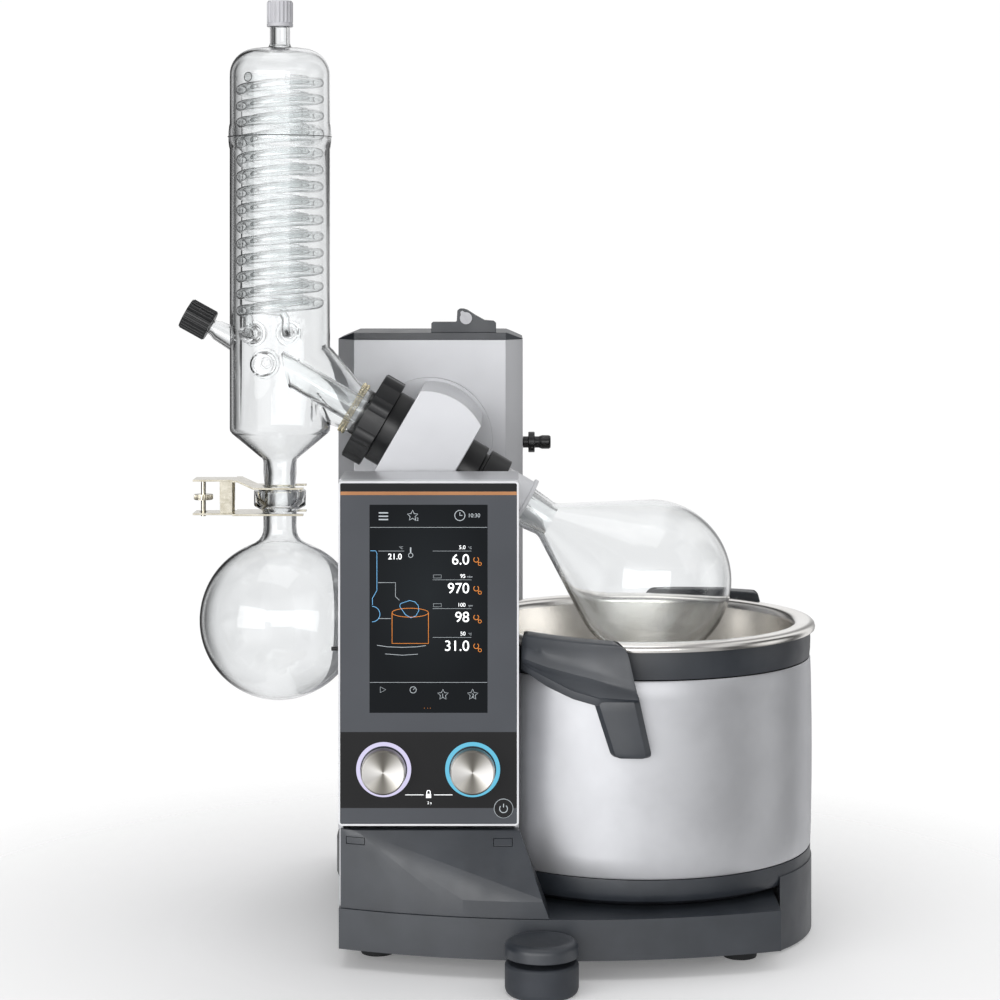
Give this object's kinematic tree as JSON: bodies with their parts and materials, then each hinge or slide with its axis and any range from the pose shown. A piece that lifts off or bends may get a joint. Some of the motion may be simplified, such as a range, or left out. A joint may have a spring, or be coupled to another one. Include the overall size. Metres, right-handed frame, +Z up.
{
  "type": "rotary evaporator",
  "caption": "Bench rotary evaporator: motor lift column, tilting drive head, rotating pear flask, upright glass condenser, receiving flask, heating bath and touch panel.",
  "frame": {"origin": "on the bench under the centre of the instrument's outline", "axes": "+Z up, -Y towards the user (control panel side), +X towards the heating bath"},
  "size_m": [0.5206, 0.4515, 0.7545],
  "materials": {
    "belt": "toothless rubber belt",
    "black_plastic": "moulded black plastic",
    "copper": "heater",
    "display": "black display glass",
    "glass": "clear borosilicate glass",
    "grey_cap": "light grey cap plastic",
    "light_paint": "light grey satin powder coat",
    "light_ring": "lit translucent ring",
    "panel_slate": "satin dark slate panel",
    "panel_white": "white gloss border",
    "rubber": "moulded rubber",
    "satin_shell": "satin silver shell",
    "slate_plastic": "fine-textured moulded dark slate plastic",
    "spring_wire": "golden spring wire",
    "steel": "brushed stainless steel"
  },
  "bodies": {
    "base": {"base_platform": "slate_plastic", "rubber_feet": "rubber", "foot_bracket": "steel", "foot_pad": "rubber", "console_housing": "light_paint", "wedge_cover": "slate_plastic", "power_inlet": "black_plastic", "lift_mast": "steel", "guide_rods": "steel", "lift_motor": "black_plastic", "lift_belt": "belt"},
    "foot_handwheel": {"foot_handwheel": "black_plastic"},
    "release_left": {"release_button_left": "black_plastic"},
    "release_right": {"release_button_right": "black_plastic"},
    "port_cover": {"port_cover": "black_plastic"},
    "main_switch": {"main_switch": "black_plastic"},
    "lift_pulley": {"lift_pulley": "steel"},
    "lead_screw": {"lead_screw": "steel"},
    "control_panel": {"panel_bezel": "panel_white", "panel_face": "panel_slate", "touch_display": "display", "light_rings": "light_ring"},
    "knob_left": {"knob_left": "steel"},
    "knob_right": {"knob_right": "steel"},
    "power_button": {"power_button": "steel"},
    "lift": {"tower_shell": "light_paint", "tower_cap": "black_plastic", "lift_carriage": "steel", "tilt_bearing": "steel", "stop_block": "black_plastic"},
    "stop_dial": {"stop_dial": "steel"},
    "tilt_lock_knob": {"tilt_lock_knob": "black_plastic"},
    "head": {"pivot_disc": "light_paint", "drive_housing": "light_paint", "housing_collars": "black_plastic", "rotor_bearings": "steel", "drive_motor": "black_plastic", "drive_belt": "belt", "condenser_jacket": "glass", "cooling_coils": "glass", "spring_ring": "spring_wire", "hose_fittings": "grey_cap", "clip_upper_jaw": "steel", "receiving_flask": "glass"},
    "motor_pulley": {"motor_pulley": "steel"},
    "rotor": {"hollow_shaft": "steel", "lock_ring": "black_plastic", "flask_clamp": "light_paint", "vapour_tube": "glass", "evaporating_flask": "glass"},
    "union_nut": {"union_nut": "black_plastic"},
    "top_cap": {"top_cap": "grey_cap"},
    "feed_cap": {"feed_cap": "black_plastic"},
    "clip_lower_jaw": {"clip_lower_jaw": "steel"},
    "clip_screw": {"clip_screw": "steel"},
    "bath": {"bath_vessel": "steel", "bath_shell": "satin_shell", "bath_base": "slate_plastic", "bath_heater": "copper", "bath_handles": "slate_plastic"}
  },
  "joints": [
    {"name": "lift_slide", "type": "slide", "parent": "base", "child": "lift", "axis": [0, 0, 1], "range_m": [0, 0.155]},
    {"name": "lead_screw_spin", "type": "hinge", "parent": "base", "child": "lead_screw", "pos_m": [-0.057, 0.19, 0.1], "axis": [0, 0, 1], "range_deg": [0, 2791]},
    {"name": "lift_pulley_spin", "type": "hinge", "parent": "base", "child": "lift_pulley", "pos_m": [-0.005, 0.14, 0.07], "axis": [0, 0, 1], "range_deg": [0, 2791]},
    {"name": "foot_turn", "type": "hinge", "parent": "base", "child": "foot_handwheel", "pos_m": [0.0344, -0.197, 0.03], "axis": [0, 0, 1], "range_deg": [-720, 720]},
    {"name": "release_left_press", "type": "slide", "parent": "base", "child": "release_left", "axis": [0, 1, 0], "range_m": [0, 0.0015], "stiffness_N_per_m": 900, "springref_m": -0.0008},
    {"name": "release_right_press", "type": "slide", "parent": "base", "child": "release_right", "axis": [0, 1, 0], "range_m": [0, 0.0015], "stiffness_N_per_m": 900, "springref_m": -0.0008},
    {"name": "port_cover_hinge", "type": "hinge", "parent": "base", "child": "port_cover", "pos_m": [-0.12, -0.096, 0.2585], "axis": [0, 1, 0], "range_deg": [0, 110]},
    {"name": "main_switch_rock", "type": "hinge", "parent": "base", "child": "main_switch", "pos_m": [-0.023, 0.222, 0.029], "axis": [1, 0, 0], "range_deg": [-10, 10]},
    {"name": "panel_dock", "type": "slide", "parent": "base", "child": "control_panel", "axis": [0, -1, 0], "range_m": [0, 0.03]},
    {"name": "knob_left_turn", "type": "hinge", "parent": "control_panel", "child": "knob_left", "pos_m": [-0.0855, -0.145, 0.1536], "axis": [0, -1, 0], "continuous": true},
    {"name": "knob_right_turn", "type": "hinge", "parent": "control_panel", "child": "knob_right", "pos_m": [-0.0175, -0.145, 0.1536], "axis": [0, -1, 0], "continuous": true},
    {"name": "power_button_press", "type": "slide", "parent": "control_panel", "child": "power_button", "axis": [0, 1, 0], "range_m": [0, 0.001], "stiffness_N_per_m": 900, "springref_m": -0.0008},
    {"name": "stop_dial_turn", "type": "hinge", "parent": "lift", "child": "stop_dial", "pos_m": [-0.026, 0.112, 0.4915], "axis": [0, -1, 0], "range_deg": [-90, 90]},
    {"name": "tilt_lock_turn", "type": "hinge", "parent": "lift", "child": "tilt_lock_knob", "pos_m": [0.033, 0.14, 0.3823], "axis": [1, 0, 0], "range_deg": [-360, 360]},
    {"name": "head_tilt", "type": "hinge", "parent": "lift", "child": "head", "pos_m": [-0.057, 0.1, 0.3868], "axis": [0, 1, 0], "range_deg": [-5, 10]},
    {"name": "rotor_spin", "type": "hinge", "parent": "head", "child": "rotor", "pos_m": [-0.057, 0, 0.3868], "axis": [0.866, 0, -0.5], "continuous": true},
    {"name": "motor_spin", "type": "hinge", "parent": "head", "child": "motor_pulley", "pos_m": [-0.057, 0.054, 0.3868], "axis": [0.866, 0, -0.5], "continuous": true},
    {"name": "union_nut_turn", "type": "hinge", "parent": "head", "child": "union_nut", "pos_m": [-0.1003, 0, 0.4118], "axis": [0.866, 0, -0.5], "range_deg": [0, 720]},
    {"name": "top_cap_turn", "type": "hinge", "parent": "head", "child": "top_cap", "pos_m": [-0.177, 0, 0.74], "axis": [0, 0, 1], "range_deg": [0, 720]},
    {"name": "feed_cap_turn", "type": "hinge", "parent": "head", "child": "feed_cap", "pos_m": [-0.23822, 0, 0.49044], "axis": [-0.8746, 0, 0.4848], "range_deg": [0, 720]},
    {"name": "clip_screw_turn", "type": "hinge", "parent": "head", "child": "clip_screw", "pos_m": [-0.2397, 0, 0.348], "axis": [0, 0, 1], "range_deg": [0, 720]},
    {"name": "clip_jaw_open", "type": "hinge", "parent": "head", "child": "clip_lower_jaw", "pos_m": [-0.22, 0, 0.3484], "axis": [0, 1, 0], "range_deg": [0, 3.3]},
    {"name": "bath_slide", "type": "slide", "parent": "base", "child": "bath", "axis": [1, 0, 0], "range_m": [0, 0.035]}
  ],
  "couplings": [
    {"joint": "lead_screw_spin", "follows": "lift_slide", "rad_per_m": 314.16},
    {"joint": "lift_pulley_spin", "follows": "lift_slide", "rad_per_m": 314.16},
    {"joint": "motor_spin", "follows": "rotor_spin", "ratio": 2.1382},
    {"joint": "clip_jaw_open", "follows": "clip_screw_turn", "ratio": 0.004167}
  ]
}
